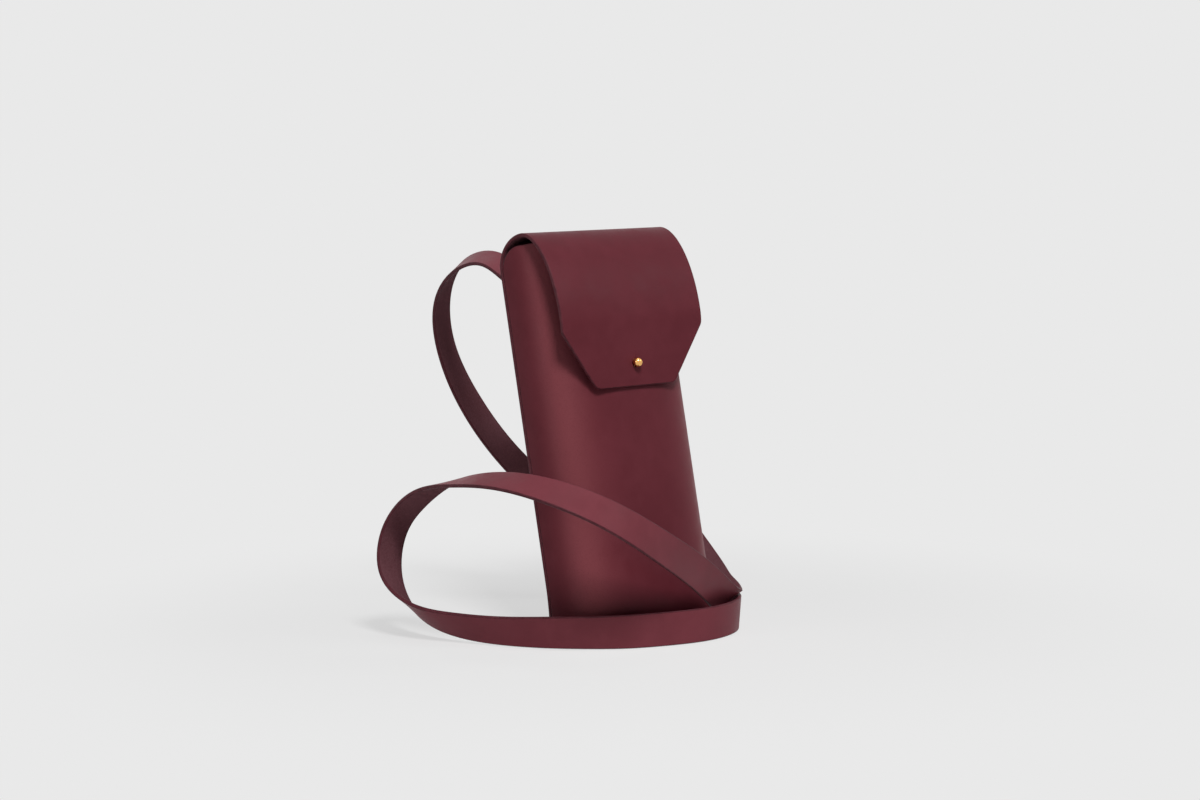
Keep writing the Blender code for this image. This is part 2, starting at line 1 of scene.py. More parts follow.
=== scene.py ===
import bpy
import numpy as np
from math import acos, asin, ceil, cos, pi, radians, sin, tan
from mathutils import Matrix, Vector


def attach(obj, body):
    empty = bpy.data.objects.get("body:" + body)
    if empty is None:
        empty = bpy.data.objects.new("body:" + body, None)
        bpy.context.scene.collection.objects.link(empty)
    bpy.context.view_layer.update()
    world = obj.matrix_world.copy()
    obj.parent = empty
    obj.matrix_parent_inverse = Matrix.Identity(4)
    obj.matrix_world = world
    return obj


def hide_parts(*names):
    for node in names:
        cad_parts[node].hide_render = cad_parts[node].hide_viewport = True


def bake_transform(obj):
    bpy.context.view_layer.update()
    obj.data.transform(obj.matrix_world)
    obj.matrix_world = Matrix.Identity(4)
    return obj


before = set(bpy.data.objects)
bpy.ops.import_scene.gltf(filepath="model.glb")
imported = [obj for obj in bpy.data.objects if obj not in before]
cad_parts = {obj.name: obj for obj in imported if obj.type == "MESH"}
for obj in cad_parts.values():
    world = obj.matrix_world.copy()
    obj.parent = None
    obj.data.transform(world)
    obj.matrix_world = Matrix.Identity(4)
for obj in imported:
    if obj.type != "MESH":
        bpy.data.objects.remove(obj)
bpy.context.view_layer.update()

# Front wall: one piece of smooth burgundy calf, 2 mm thick, bent round a D-shaped foot and cemented edge to
# edge against the back panel. It leans back as it rises, and its rim is rounded at the back and scooped at
# the front.
LEATHER = 0.002
GAP = 0.0003
WIDTH = 0.100
DEPTH = 0.037
NOSE_EXPONENT = 3.0
NOSE_COLUMNS = 144
NOSE_EDGE_SHARE = 0.003
NOSE_SAMPLES = 4000
TURN_WEIGHT = 0.5
LEAN = radians(12.58)
FOOT_BEND_RADIUS = 0.136
BEND_TOP = FOOT_BEND_RADIUS * tan(LEAN)
RIM_HEIGHT = 0.2113
RIM_CORNER_REACH = 0.014
RIM_CORNER_RISE = 0.0145
RIM_SCOOP_START = 0.024
RIM_SCOOP_DROP = 0.0135
RIM_SCOOP_POWER = 1.8
WALL_ROWS = 64
WALL_EDGE_SHARE = 0.004
EDGE_ROUND = 0.0005
EDGE_STEPS = 4
SHARP_ANGLE = radians(40)
HOLE_SIDES = 32
STUD_HEIGHT = 0.1416
STUD_BORE = 0.00115
FORWARD = np.array((0, -cos(LEAN), sin(LEAN)))
UP_PANEL = np.array((0, sin(LEAN), cos(LEAN)))
ACROSS = np.array((1.0, 0, 0))


def place(x, depth, height):
    """Points given across the pouch, forward from the back's rear face, and up along that face. Above the
    foot the face is straight and leans back; below it, it is an arc, and the lean grows with the height."""
    x, depth, height = np.broadcast_arrays(*(np.asarray(v, float) for v in (x, depth, height)))
    turn = LEAN * height / BEND_TOP
    bent_y = DEPTH / 2 + FOOT_BEND_RADIUS * (1 - np.cos(turn)) - depth * np.cos(turn)
    bent_z = (FOOT_BEND_RADIUS + depth) * np.sin(turn)
    foot_y = DEPTH / 2 + FOOT_BEND_RADIUS * (1 - 1 / cos(LEAN))
    straight_y = foot_y - depth * cos(LEAN) + height * sin(LEAN)
    straight_z = depth * sin(LEAN) + height * cos(LEAN)
    low = height < BEND_TOP
    return np.stack([x, np.where(low, bent_y, straight_y), np.where(low, bent_z, straight_z)], -1)


def unit(v):
    """Each vector divided by its length."""
    return v / np.linalg.norm(v, axis=-1, keepdims=True)


def keep_rest_place(item):
    """Smooth shading up to the sharp angle, and the rest place as the attribute that the materials read."""
    mesh = item.data
    mesh.shade_smooth()
    mesh.set_sharp_from_angle(angle=SHARP_ANGLE)
    rest = mesh.attributes.get("rest") or mesh.attributes.new("rest", "FLOAT_VECTOR", "POINT")
    places = np.empty(len(mesh.vertices) * 3, np.float32)
    mesh.vertices.foreach_get("co", places)
    rest.data.foreach_set("vector", places)


def mesh_piece(name, vertices, faces, looks, look_numbers):
    """An object from arrays of vertices and faces. Where their signed volume, the sum of a . (b x c) over the
    triangles, is negative, the faces look inward and are turned round."""
    mesh = bpy.data.meshes.new(name)
    mesh.from_pydata(np.asarray(vertices, float).tolist(), [], faces)
    for look in looks:
        mesh.materials.append(look)
    mesh.polygons.foreach_set("material_index", np.asarray(look_numbers, np.int32))
    mesh.update()
    mesh.calc_loop_triangles()
    corners = np.empty(len(mesh.loop_triangles) * 3, np.int32)
    mesh.loop_triangles.foreach_get("vertices", corners)
    a, b, c = np.asarray(vertices, float)[corners.reshape(-1, 3)].transpose(1, 0, 2)
    if (a * np.cross(b, c)).sum() < 0:
        mesh.flip_normals()
    item = bpy.data.objects.new(name, mesh)
    bpy.context.scene.collection.objects.link(item)
    keep_rest_place(item)
    return item


def leather_sheet(name, middle, looks, flip=False, normal=None):
    """A leather sheet round a grid of points in its middle: each face lies half the thickness along the
    normal, and the border is rounded by two quarter arcs. The looks are the grain side, the cut edge and the
    flesh side."""
    rows, columns = middle.shape[:2]
    if normal is None:
        normal = unit(np.cross(np.gradient(middle, axis=0), np.gradient(middle, axis=1)))
        normal *= -1 if flip else 1
    i = np.concatenate([np.zeros(columns - 1, int), np.arange(rows - 1),
                        np.full(columns - 1, rows - 1), np.arange(rows - 1, 0, -1)])
    j = np.concatenate([np.arange(columns - 1), np.full(rows - 1, columns - 1),
                        np.arange(columns - 1, 0, -1), np.zeros(rows - 1, int)])
    rim = middle[i, j]
    rim_normal = normal[i, j]
    tangent = unit(unit(np.roll(rim, -1, 0) - rim) + unit(rim - np.roll(rim, 1, 0)))
    out = unit(np.cross(rim_normal, tangent)) * (-1 if flip else 1)
    grain_side = middle + normal * LEATHER / 2
    flesh_side = middle - normal * LEATHER / 2
    grain_side[i, j] -= out * EDGE_ROUND
    flesh_side[i, j] -= out * EDGE_ROUND
    turn = pi / 2 * np.arange(1, EDGE_STEPS + 1) / EDGE_STEPS
    reach = EDGE_ROUND * (np.sin(np.concatenate([turn, turn[::-1]])) - 1)
    rise = LEATHER / 2 - EDGE_ROUND * (1 - np.cos(np.concatenate([turn, turn[::-1]])))
    rise[EDGE_STEPS:] *= -1
    edge = rim + out * reach[:, None, None] + rim_normal * rise[:, None, None]
    vertices = np.concatenate([grain_side.reshape(-1, 3), flesh_side.reshape(-1, 3), edge.reshape(-1, 3)])
    side_count = rows * columns
    numbers = i * columns + j
    rings = 2 * side_count + np.arange(2 * EDGE_STEPS * len(i)).reshape(2 * EDGE_STEPS, -1)
    rings = np.concatenate([numbers[None], rings, side_count + numbers[None]])
    corner = (np.arange(rows - 1)[:, None] * columns + np.arange(columns - 1)).ravel()
    quads = np.stack([corner, corner + columns, corner + columns + 1, corner + 1], 1)
    after = np.roll(rings, -1, 1)
    strips = np.stack([rings[:-1], after[:-1], after[1:], rings[1:]], -1)
    faces = np.concatenate([quads, quads[:, ::-1] + side_count, strips.reshape(-1, 4)])
    look_numbers = np.repeat([0, 2, 1], [len(quads), len(quads), strips.shape[0] * strips.shape[1]])
    return mesh_piece(name, vertices, faces.tolist(), looks, look_numbers)


def plug(name, low, high, looks, number=1):
    """A closed solid between two outlines with equally many points."""
    count = len(low)
    ring = np.arange(count)
    after = np.roll(ring, -1)
    walls = np.stack([ring, after, count + after, count + ring], 1).tolist()
    faces = [ring[::-1].tolist(), (count + ring).tolist()] + walls
    return mesh_piece(name, np.concatenate([low, high]), faces, looks, [number] * len(faces))


def round_plug(name, radius, x, height, low, high, looks):
    """A drill's shape square to the panel: a circle of points carried from one depth to another."""
    turn = 2 * pi * np.arange(HOLE_SIDES) / HOLE_SIDES
    circle_x = x + radius * np.cos(turn)
    circle_height = height + radius * np.sin(turn)
    return plug(name, place(circle_x, low, circle_height), place(circle_x, high, circle_height), looks)


def apply_modifiers(item):
    """Writes an object's modifiers into its mesh."""
    graph = bpy.context.evaluated_depsgraph_get()
    graph.update()
    mesh = bpy.data.meshes.new_from_object(item.evaluated_get(graph))
    item.modifiers.clear()
    item.data = mesh
    keep_rest_place(item)


def punch(item, tools):
    """Cuts the tools' shapes out of a piece, the holes' walls taking the tools' look."""
    for tool in tools:
        step = item.modifiers.new("hole", "BOOLEAN")
        step.operation = "DIFFERENCE"
        step.solver = "EXACT"
        step.object = tool
    apply_modifiers(item)
    for tool in tools:
        bpy.data.objects.remove(tool, do_unlink=True)


def even_shares(count, margin):
    """Even shares from 0 to 1 with one more close to each end, so that the shading stays flat up to there."""
    return np.unique(np.concatenate([[margin, 1 - margin], np.linspace(0, 1, count)]))


def nose_section():
    """Outer outline of the front wall in plan, left to right: a superellipse, |x / half width| and
    depth / reach to the nose exponent adding up to 1, read where length and weighted turning together grow
    evenly. Gives x, depth and the two parts of the normal."""
    reach = DEPTH - LEATHER
    power = 2 / NOSE_EXPONENT
    first = asin((GAP / reach) ** (1 / power))
    angles = np.linspace(first, pi - first, NOSE_SAMPLES)
    x = -WIDTH / 2 * np.sign(np.cos(angles)) * np.abs(np.cos(angles)) ** power
    depth = LEATHER + reach * np.sin(angles) ** power
    step = np.hypot(np.diff(x), np.diff(depth))
    turn = np.abs(np.diff(np.unwrap(np.arctan2(np.diff(depth), np.diff(x)))))
    turn = np.concatenate([[turn[0]], turn])
    measure = np.cumsum(step / step.sum() + TURN_WEIGHT * turn / turn.sum())
    measure = np.concatenate([[0], measure])
    wanted = even_shares(NOSE_COLUMNS, NOSE_EDGE_SHARE) * measure[-1]
    x = np.interp(wanted, measure, x)
    depth = np.interp(wanted, measure, depth)
    grad_x = np.sign(x) * (np.abs(x) / (WIDTH / 2)) ** (NOSE_EXPONENT - 1) / (WIDTH / 2)
    grad_d = ((depth - LEATHER) / reach) ** (NOSE_EXPONENT - 1) / reach
    size = np.hypot(grad_x, grad_d)
    return x, depth, grad_x / size, grad_d / size


def rim_height(depth):
    """Height of the wall's top edge: a quarter ellipse up from the back corners, level, then a power curve
    down to the nose."""
    share = 1 - np.minimum(RIM_CORNER_REACH, depth - LEATHER) / RIM_CORNER_REACH
    scoop = np.maximum(0, depth - RIM_SCOOP_START) / (DEPTH - RIM_SCOOP_START)
    height = RIM_HEIGHT - RIM_CORNER_RISE + RIM_CORNER_RISE * np.sqrt(1 - share * share)
    return height - RIM_SCOOP_DROP * scoop ** RIM_SCOOP_POWER


class Value:
    """What a node gives; arithmetic with it adds Math nodes."""

    def __init__(self, look, socket):
        self.look = look
        self.socket = socket

    def math(self, operation, first, second):
        """A Math node on two values or numbers."""
        return self.look.node("ShaderNodeMath", first, second, operation=operation)

    def __add__(self, other):
        return self.math("ADD", self, other)

    def __radd__(self, other):
        return self.math("ADD", other, self)

    def __sub__(self, other):
        return self.math("SUBTRACT", self, other)

    def __rsub__(self, other):
        return self.math("SUBTRACT", other, self)

    def __mul__(self, other):
        return self.math("MULTIPLY", self, other)

    def __rmul__(self, other):
        return self.math("MULTIPLY", other, self)

    def __truediv__(self, other):
        return self.math("DIVIDE", self, other)


class Nodes:
    """A node tree, and the one way in which nodes are added to it."""

    def __init__(self, tree):
        self.tree = tree

    def give(self, socket, value):
        """Links another node's value to a socket, or sets a number, a vector or a colour on it."""
        if isinstance(value, Value):
            self.tree.links.new(value.socket, socket)
        elif isinstance(value, tuple) and len(value) == 3 and len(socket.default_value) == 4:
            socket.default_value = (*value, 1)
        else:
            socket.default_value = value

    def node(self, kind, *inputs, output=0, named=(), **settings):
        """Adds a node of the kind, makes its settings, then fills its sockets by order or by name."""
        item = self.tree.nodes.new(kind)
        for key, value in settings.items():
            setattr(item, key, value)
        for socket, value in zip(item.inputs, inputs):
            self.give(socket, value)
        for key, value in dict(named).items():
            self.give(item.inputs[key], value)
        return Value(self, item.outputs[output])

    def ramp(self, value, low, high, to_low=0.0, to_high=1.0):
        """A smooth step that goes from to_low to to_high while the value goes from low to high."""
        named = {"Value": value, "From Min": low, "From Max": high, "To Min": to_low, "To Max": to_high}
        return self.node("ShaderNodeMapRange", named=named, interpolation_type="SMOOTHSTEP")

    def surface(self, shader):
        """Makes a shader what the tree puts out."""
        out = next(n for n in self.tree.nodes if n.type.startswith("OUTPUT"))
        self.give(out.inputs["Surface"], shader)


class Look(Nodes):
    """A material on the Principled shader; what is the same all over is set on the shader itself."""

    def __init__(self, name, **plain):
        self.material = bpy.data.materials.new(name)
        self.material.use_nodes = True
        super().__init__(self.material.node_tree)
        self.shader = next(n for n in self.tree.nodes if n.type == "BSDF_PRINCIPLED")
        for key, value in plain.items():
            self.give(self.shader.inputs[key.replace("_", " ")], value)

    def millimetres(self):
        """The piece's rest place, in millimetres."""
        at = self.node("ShaderNodeAttribute", attribute_name="rest", output=1)
        return self.node("ShaderNodeVectorMath", named={0: at, "Scale": 1000.0}, operation="SCALE")

    def noise(self, at, scale, detail=2.0, roughness=0.5):
        """Cloudy noise from 0 to 1, of about as many swells to the millimetre as the scale says."""
        return self.node("ShaderNodeTexNoise",
                         named={"Vector": at, "Scale": scale, "Detail": detail, "Roughness": roughness})

    def cells(self, at, scale):
        """Distance to the nearest of scattered points, 0 at each point."""
        return self.node("ShaderNodeTexVoronoi", named={"Vector": at, "Scale": scale})

    def blend(self, share, first, second):
        """The first colour where the share is 0, the second where it is 1."""
        named = {0: share, 6: first, 7: second}
        return self.node("ShaderNodeMix", named=named, output=2, data_type="RGBA")

    def link_varying(self, colour, roughness, height, depth, strength):
        """Links what varies over the surface to the shader; the depth of the bump is in metres."""
        named = {"Height": height, "Distance": depth, "Strength": strength}
        self.give(self.shader.inputs["Normal"], self.node("ShaderNodeBump", named=named))
        self.give(self.shader.inputs["Base Color"], colour)
        self.give(self.shader.inputs["Roughness"], roughness)


# the last dye is lighter and greyer: a painted highlight for the bends of the wall's nose
GRAIN_DYES = ((0.098, 0.0165, 0.0240), (0.126, 0.0220, 0.0312), (0.143, 0.0268, 0.0374),
              (0.225, 0.0550, 0.0665))
GRAIN_ROUGHNESS = 0.40
EDGE_DARK = (0.070, 0.012, 0.019)
EDGE_LIGHT = (0.120, 0.026, 0.036)
FLESH_DARK = (0.110, 0.0370, 0.0450)
FLESH_LIGHT = (0.190, 0.0800, 0.0940)


def grain_look(name, tone, painted_sheen):
    """Smooth matte calf, dyed through: fine cells and pores, a slightly cloudy dye with a painted highlight
    on the bends of the wall's nose, and a soft uneven gloss. Each dye is tone times its colour plus an even
    grey; for the strap both make painted light and sheen. The deep dye fills the pores, the rubbed one makes
    the clouds, the last one is the painted highlight."""
    look = Look(name, Specular_IOR_Level=0.08)
    at = look.millimetres()
    swell = look.noise(at, 0.35, 1.0)
    creases = look.ramp(look.cells(at, 2.1), 0.15, 0.62)
    pores = look.ramp(look.noise(at, 3.2, 2.0, 0.6), 0.30, 0.44)
    fine = look.noise(at, 6.5, 3.0, 0.65)
    cloud = look.noise(at, 0.022, 3.0, 0.55)
    streak = look.noise(at, 0.11, 2.0, 0.5)
    height = pores * 0.5 + fine * 0.25 + swell * 0.8 - creases * 0.35
    # each dye is tone times its colour plus an even grey; for the strap these are painted light and painted
    # sheen
    dyes = (tuple(tone * part + painted_sheen for part in dye) for dye in GRAIN_DYES)
    deep, plain, rubbed, highlight_dye = dyes
    colour = look.blend(look.ramp(cloud + streak * 0.4, 0.55, 0.85), plain, rubbed)
    # painted highlight: the lighter dye where the piece's attribute marks the bends of the nose
    painted_highlight_mask = look.node("ShaderNodeAttribute", attribute_name="painted_highlight", output=2)
    colour = look.blend(painted_highlight_mask, colour, highlight_dye)
    colour = look.blend(look.ramp(pores * 0.6 + fine * 0.5, 0.85, 0.35, 0.0, 0.55), colour, deep)
    gloss = look.ramp(streak + fine * 0.5, 0.45, 1.0, GRAIN_ROUGHNESS - 0.05, GRAIN_ROUGHNESS + 0.08)
    look.link_varying(colour, gloss, height, 0.00005, 0.5)
    return look.material


def edge_look(name):
    """The cut edge, dyed and rubbed smooth, with the layers of the hide faintly along it."""
    look = Look(name, Specular_IOR_Level=0.15)
    at = look.millimetres()
    fibre = look.noise(at, 2.4, 3.0, 0.7)
    patch = look.noise(at, 0.25, 2.0)
    colour = look.blend(look.ramp(fibre * 0.7 + patch * 0.6, 0.45, 0.85), EDGE_DARK, EDGE_LIGHT)
    look.link_varying(colour, look.ramp(fibre, 0.3, 0.7, 0.38, 0.55), fibre, 0.00006, 0.5)
    return look.material


def flesh_look(name, tone):
    """The rough inner side: short matted fibres, dull and slightly greyer. Tone multiplies its colours; a
    tone above 1 is painted light.
    """
    look = Look(name, Specular_IOR_Level=0.08)
    at = look.millimetres()
    fibre = look.noise(at, 4.2, 4.0, 0.75)
    clump = look.noise(at, 0.9, 3.0, 0.6)
    cloud = look.noise(at, 0.035, 2.0)
    dark, light = (tuple(part * tone for part in colour) for colour in (FLESH_DARK, FLESH_LIGHT))
    colour = look.blend(look.ramp(fibre * 0.7 + clump * 0.35 + cloud * 0.25, 0.45, 0.90), dark, light)
    look.link_varying(colour, look.ramp(clump, 0.3, 0.7, 0.80, 0.95), fibre + clump * 0.8, 0.00012, 0.8)
    return look.material


CALF = [grain_look("calf_grain", 1.0, 0.0), edge_look("calf_edge"), flesh_look("calf_flesh", 1.0)]
nose_x, nose_depth, nose_normal_x, nose_normal_depth = nose_section()
wall_x = nose_x - nose_normal_x * LEATHER / 2
wall_depth = np.maximum(LEATHER + GAP, nose_depth - nose_normal_depth * LEATHER / 2)
wall_height = even_shares(WALL_ROWS, WALL_EDGE_SHARE)[:, None] * rim_height(nose_depth)
wall = place(wall_x, wall_depth, wall_height)
front_wall = leather_sheet("front_wall", wall, CALF, flip=True)
stud_hole = round_plug("stud_hole", STUD_BORE, 0, STUD_HEIGHT, DEPTH - 2 * LEATHER, DEPTH + LEATHER, CALF)
punch(front_wall, [stud_hole])
facing = np.empty(len(front_wall.data.vertices) * 3, np.float32)
front_wall.data.vertex_normals.foreach_get("vector", facing)
facing = facing.reshape(-1, 3)
# painted highlight: 1 where the wall faces half sideways and half forward, where it is bent most, and 0
# square
# # to either; there the grain takes the lighter dye
painted_highlight = 4 * (facing @ ACROSS) ** 2 * (facing @ FORWARD) ** 2
painted_highlight_values = front_wall.data.attributes.new("painted_highlight", "FLOAT", "POINT").data
painted_highlight_values.foreach_set("value", painted_highlight.astype(np.float32))
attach(front_wall, "pouch")
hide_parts("front_panel")

# Base: a D-shaped plate of thicker leather, its grain side down, glued inside the walls and flush with their
# lower edges. Its outline is the front wall's, set in by the wall's thickness and the gap.
BASE_THICKNESS = 0.0025
BASE_EDGE_ROUND = 0.0003
BASE_EDGE_STEPS = 3
base_x = nose_x - nose_normal_x * (LEATHER + GAP)
base_depth = np.maximum(LEATHER + GAP, nose_depth - nose_normal_depth * (LEATHER + GAP))
base_low = np.stack([base_x, DEPTH / 2 - base_depth, np.zeros_like(base_x)], -1)
base = plug("base_plate", base_low, base_low + np.array((0, 0, BASE_THICKNESS)), CALF)
base.data.polygons[0].material_index = 0
base.data.polygons[1].material_index = 2
softened = base.modifiers.new("soft edges", "BEVEL")
softened.width = BASE_EDGE_ROUND
softened.segments = BASE_EDGE_STEPS
softened.limit_method = "ANGLE"
softened.angle_limit = SHARP_ANGLE
apply_modifiers(base)
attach(base, "pouch")
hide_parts("base_panel")

# Back and flap: one strip of the same leather. It rises from the foot as the flat back, rolls over the
# mouth, drops down the front and tucks in to a clipped tip with a keyhole. Two slots and four rivet holes
# are punched in the back.
HINGE_HEIGHT = 0.200
ROLL_REACH = 0.020
ROLL_RISE = 0.0172
FLAP_NOSE = 0.0444
FLAP_NOSE_HEIGHT = 0.168
TUCK_ANGLE = radians(8)
TUCK_RADIUS = 0.040
FLAP_TIP_HEIGHT = 0.1293
FLAP_CLIP_HEIGHT = 0.160
FLAP_TIP_HALF_WIDTH = 0.028
FLAP_CORNER_RADIUS = 0.006
FLAP_CORNER_STEPS = 12
FOOT_ROWS = (0, 0.0008)
FIRST_EVEN_ROW = 0.004
BACK_ROWS = 51
ROLL_STEPS = 20
FALL_STEPS = 36
TUCK_STEPS = 8
TIP_EDGE_ROW = 0.0004
TIP_FIRST_ROW = 0.0020
TIP_ROW_STEP = 0.0025
LEAST_ROW_GAP = 0.00012
BACK_COLUMNS = 25
BACK_EDGE_SHARE = 0.008
KEYHOLE_RADIUS = 0.0024
KEYHOLE_SLIT_WIDTH = 0.00016
KEYHOLE_SLIT_TOP = 0.1480
KEYHOLE_STEPS = 48
SLOT_HEIGHT_UP = 0.190
SLOT_SPREAD = 0.033
SLOT_LENGTH = 0.0192
SLOT_OPENING = 0.0054
SLOT_CORNER_RADIUS = 0.0008
RECTANGLE_CORNER_STEPS = 6
RIVET_HEIGHTS = {"lower": 0.166, "upper": 0.178}
RIVET_BORE = 0.0013
# depth and height of the two ends of the flap's fold line, which is tilted, so that the flap's low tip lies
# # beyond its end; their places are worked out below, and nothing turns about them
FOLD_START = (0.00095, 0.200)
FOLD_END = (0.0063, 0.20187)


def strip_profile():
    """The strip's outer line as rows of depth, height and normal: straight up the back, a quarter ellipse up
    and forward, a wider one down to the nose, and an arc that tucks the tip in."""
    up = np.concatenate([FOOT_ROWS, np.linspace(FIRST_EVEN_ROW, HINGE_HEIGHT, BACK_ROWS - 1)])
    back = np.stack([0 * up, up, 0 * up - 1, 0 * up], 1)
    t = pi / 2 * np.arange(1, ROLL_STEPS + 1) / ROLL_STEPS
    roll = np.stack([ROLL_REACH * (1 - np.cos(t)), HINGE_HEIGHT + ROLL_RISE * np.sin(t),
                     -ROLL_RISE * np.cos(t), ROLL_REACH * np.sin(t)], 1)
    reach = FLAP_NOSE - ROLL_REACH
    rise = HINGE_HEIGHT + ROLL_RISE - FLAP_NOSE_HEIGHT
    t = pi / 2 * (1 - np.arange(1, FALL_STEPS + 1) / FALL_STEPS)
    fall = np.stack([ROLL_REACH + reach * np.cos(t), FLAP_NOSE_HEIGHT + rise * np.sin(t),
                     rise * np.cos(t), reach * np.sin(t)], 1)
    t = TUCK_ANGLE * np.arange(1, TUCK_STEPS + 1) / TUCK_STEPS
    tuck = np.stack([FLAP_NOSE - TUCK_RADIUS * (1 - np.cos(t)),
                     FLAP_NOSE_HEIGHT - TUCK_RADIUS * np.sin(t), np.cos(t), -np.sin(t)], 1)
    return np.concatenate([back, roll, fall, tuck])


def round_corners(points, radius, steps):
    """An open line with each inner corner replaced by an arc that touches both of its sides."""
    line = [np.array(points[:1], float)]
    for a, b, c in np.array([points[:-2], points[1:-1], points[2:]], float).transpose(1, 0, 2):
        to_a = unit(a - b)
        to_c = unit(c - b)
        half = acos(float(to_a @ to_c)) / 2
        centre = b + unit(to_a + to_c) * (radius / sin(half))
        start = b + to_a * (radius / tan(half)) - centre
        end = b + to_c * (radius / tan(half)) - centre
        sweep = pi - 2 * half
        share = np.arange(steps + 1)[:, None] / steps
        arc = (start * np.sin(sweep * (1 - share)) + end * np.sin(sweep * share)) / sin(sweep)
        line.append(centre + arc)
    return np.concatenate(line + [np.array(points[-1:], float)])


def rounded_rectangle(half_width, half_height, radius):
    """Four quarter circles, one about each corner's own centre."""
    steps = RECTANGLE_CORNER_STEPS
    turn = pi / 2 * (np.arange(4)[:, None] + np.arange(steps + 1) / steps)
    side_x = np.array((1, -1, -1, 1))[:, None] * (half_width - radius)
    side_y = np.array((1, 1, -1, -1))[:, None] * (half_height - radius)
    return np.stack([side_x + radius * np.cos(turn), side_y + radius * np.sin(turn)], -1).reshape(-1, 2)


outer_line = strip_profile()
tuck_depth, tuck_height, tuck_nd, tuck_nh = outer_line[-1]
slope = cos(TUCK_ANGLE)
clip_along = FLAP_CLIP_HEIGHT / slope
tip_along = FLAP_TIP_HEIGHT / slope
side_points = [(WIDTH / 2, clip_along + FLAP_CORNER_RADIUS), (WIDTH / 2, clip_along),
               (FLAP_TIP_HALF_WIDTH, tip_along), (0, tip_along)]
side_x, side_height = round_corners(side_points, FLAP_CORNER_RADIUS, FLAP_CORNER_STEPS)[:-1].T
side_height = side_height * slope
corner_rows = side_height[side_height < tuck_height]
even_rows = np.arange(FLAP_TIP_HEIGHT + TIP_FIRST_ROW, tuck_height, TIP_ROW_STEP)
low = np.concatenate([corner_rows, even_rows, [FLAP_TIP_HEIGHT + TIP_EDGE_ROW]])
low = np.unique(np.round(low, 5))
low = low[np.concatenate([[True], np.diff(low) > LEAST_ROW_GAP])][::-1]
low_depth = tuck_depth - (tuck_height - low) * tan(TUCK_ANGLE)
flat_part = np.stack([low_depth, low, 0 * low + tuck_nd, 0 * low + tuck_nh], 1)
outer_line = np.concatenate([outer_line, flat_part])
outer_line[:, 2:] = unit(outer_line[:, 2:])
half = np.interp(outer_line[:, 1], side_height[::-1], side_x[::-1])
half[:BACK_ROWS + 1] = WIDTH / 2
strip_shares = 2 * even_shares(BACK_COLUMNS, BACK_EDGE_SHARE) - 1
middle_depth = outer_line[:, 0] - outer_line[:, 2] * LEATHER / 2
middle_height = outer_line[:, 1] - outer_line[:, 3] * LEATHER / 2
strip = place(half[:, None] * strip_shares, middle_depth[:, None], middle_height[:, None])
body_strip = leather_sheet("back_and_flap", strip, CALF)
slot_outline = rounded_rectangle(SLOT_LENGTH / 2, SLOT_OPENING / 2, SLOT_CORNER_RADIUS)
tools = []
for sign in (-1, 1):
    ends = [place(sign * SLOT_SPREAD + slot_outline[:, 0], d, SLOT_HEIGHT_UP + slot_outline[:, 1])
            for d in (-LEATHER / 2, 3 * LEATHER / 2)]
    tools.append(plug("slot", *ends, CALF))
    for rivet_height in RIVET_HEIGHTS.values():
        tools.append(round_plug("rivet_hole", RIVET_BORE, sign * SLOT_SPREAD, rivet_height, -LEATHER / 2,
                                3 * LEATHER / 2, CALF))
mouth = asin(KEYHOLE_SLIT_WIDTH / 2 / KEYHOLE_RADIUS)
turn = mouth + (2 * pi - 2 * mouth) * np.arange(KEYHOLE_STEPS + 1) / KEYHOLE_STEPS
hole_x = np.append(KEYHOLE_RADIUS * np.sin(turn), [-KEYHOLE_SLIT_WIDTH / 2, KEYHOLE_SLIT_WIDTH / 2])
hole_height = np.append(STUD_HEIGHT + KEYHOLE_RADIUS * np.cos(turn), [KEYHOLE_SLIT_TOP, KEYHOLE_SLIT_TOP])
ends = [place(hole_x, d, hole_height) for d in (DEPTH, FLAP_NOSE + GAP)]
tools.append(plug("keyhole", *ends, CALF))
punch(body_strip, tools)
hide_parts("back_panel", "flap")
tuple(place(0, *FOLD_START))
tuple(place(0, *FOLD_END))
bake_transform(body_strip)

# Closure stud: a solid brass ball on a waisted neck and a thin foot, turned in one piece and polished. Its
# screw goes through the front wall from inside and is turned home with a driver in the slot of its head.
BALL_RADIUS = 0.0026
BALL_LIFT = 0.0058
BALL_STEPS = 40
NECK_RADIUS = 0.0015
FOOT_RADIUS = 0.0032
FOOT = 0.0012
SCREW_RADIUS = 0.00085
SCREW_TIP = 0.0027
SCREW_HEAD_RADIUS = 0.004
SCREW_SIDES = 48
DRIVER_SLOT_HALF_LENGTH = 0.003
DRIVER_SLOT_HALF_WIDTH = 0.0004
DRIVER_SLOT_CORNER = 0.0002
DRIVER_SLOT_DEPTHS = (0.0012, 0.0005)
BRASS_BRIGHT = (0.88, 0.49, 0.17)
BRASS_RUBBED = (0.80, 0.41, 0.13)
BRASS_SCRATCH_DEPTH = 0.0000012


def turned(name, profile, x, depth, height, looks, sides=96):
    """A turned piece: its profile of radius and height, from pole to pole, carried round an axis that stands
    square to the back."""
    origin = place(x, depth, height)
    radius, along = np.array(profile).T
    turn = 2 * pi * np.arange(sides) / sides
    ring = np.cos(turn)[:, None] * ACROSS + np.sin(turn)[:, None] * UP_PANEL
    rings = origin + ring * radius[1:-1, None, None] + FORWARD * along[1:-1, None, None]
    poles = origin + FORWARD * along[[0, -1], None]
    vertices = np.concatenate([rings.reshape(-1, 3), poles])
    number = np.arange(rings.shape[0] * sides).reshape(-1, sides)
    after = np.roll(number, -1, 1)
    quads = np.stack([number[:-1], after[:-1], after[1:], number[1:]], -1).reshape(-1, 4).tolist()
    first = np.stack([after[0], number[0], np.full(sides, number.size)], -1).tolist()
    last = np.stack([number[-1], after[-1], np.full(sides, number.size + 1)], -1).tolist()
    faces = quads + first + last
    return mesh_piece(name, vertices, faces, looks, [0] * len(faces))


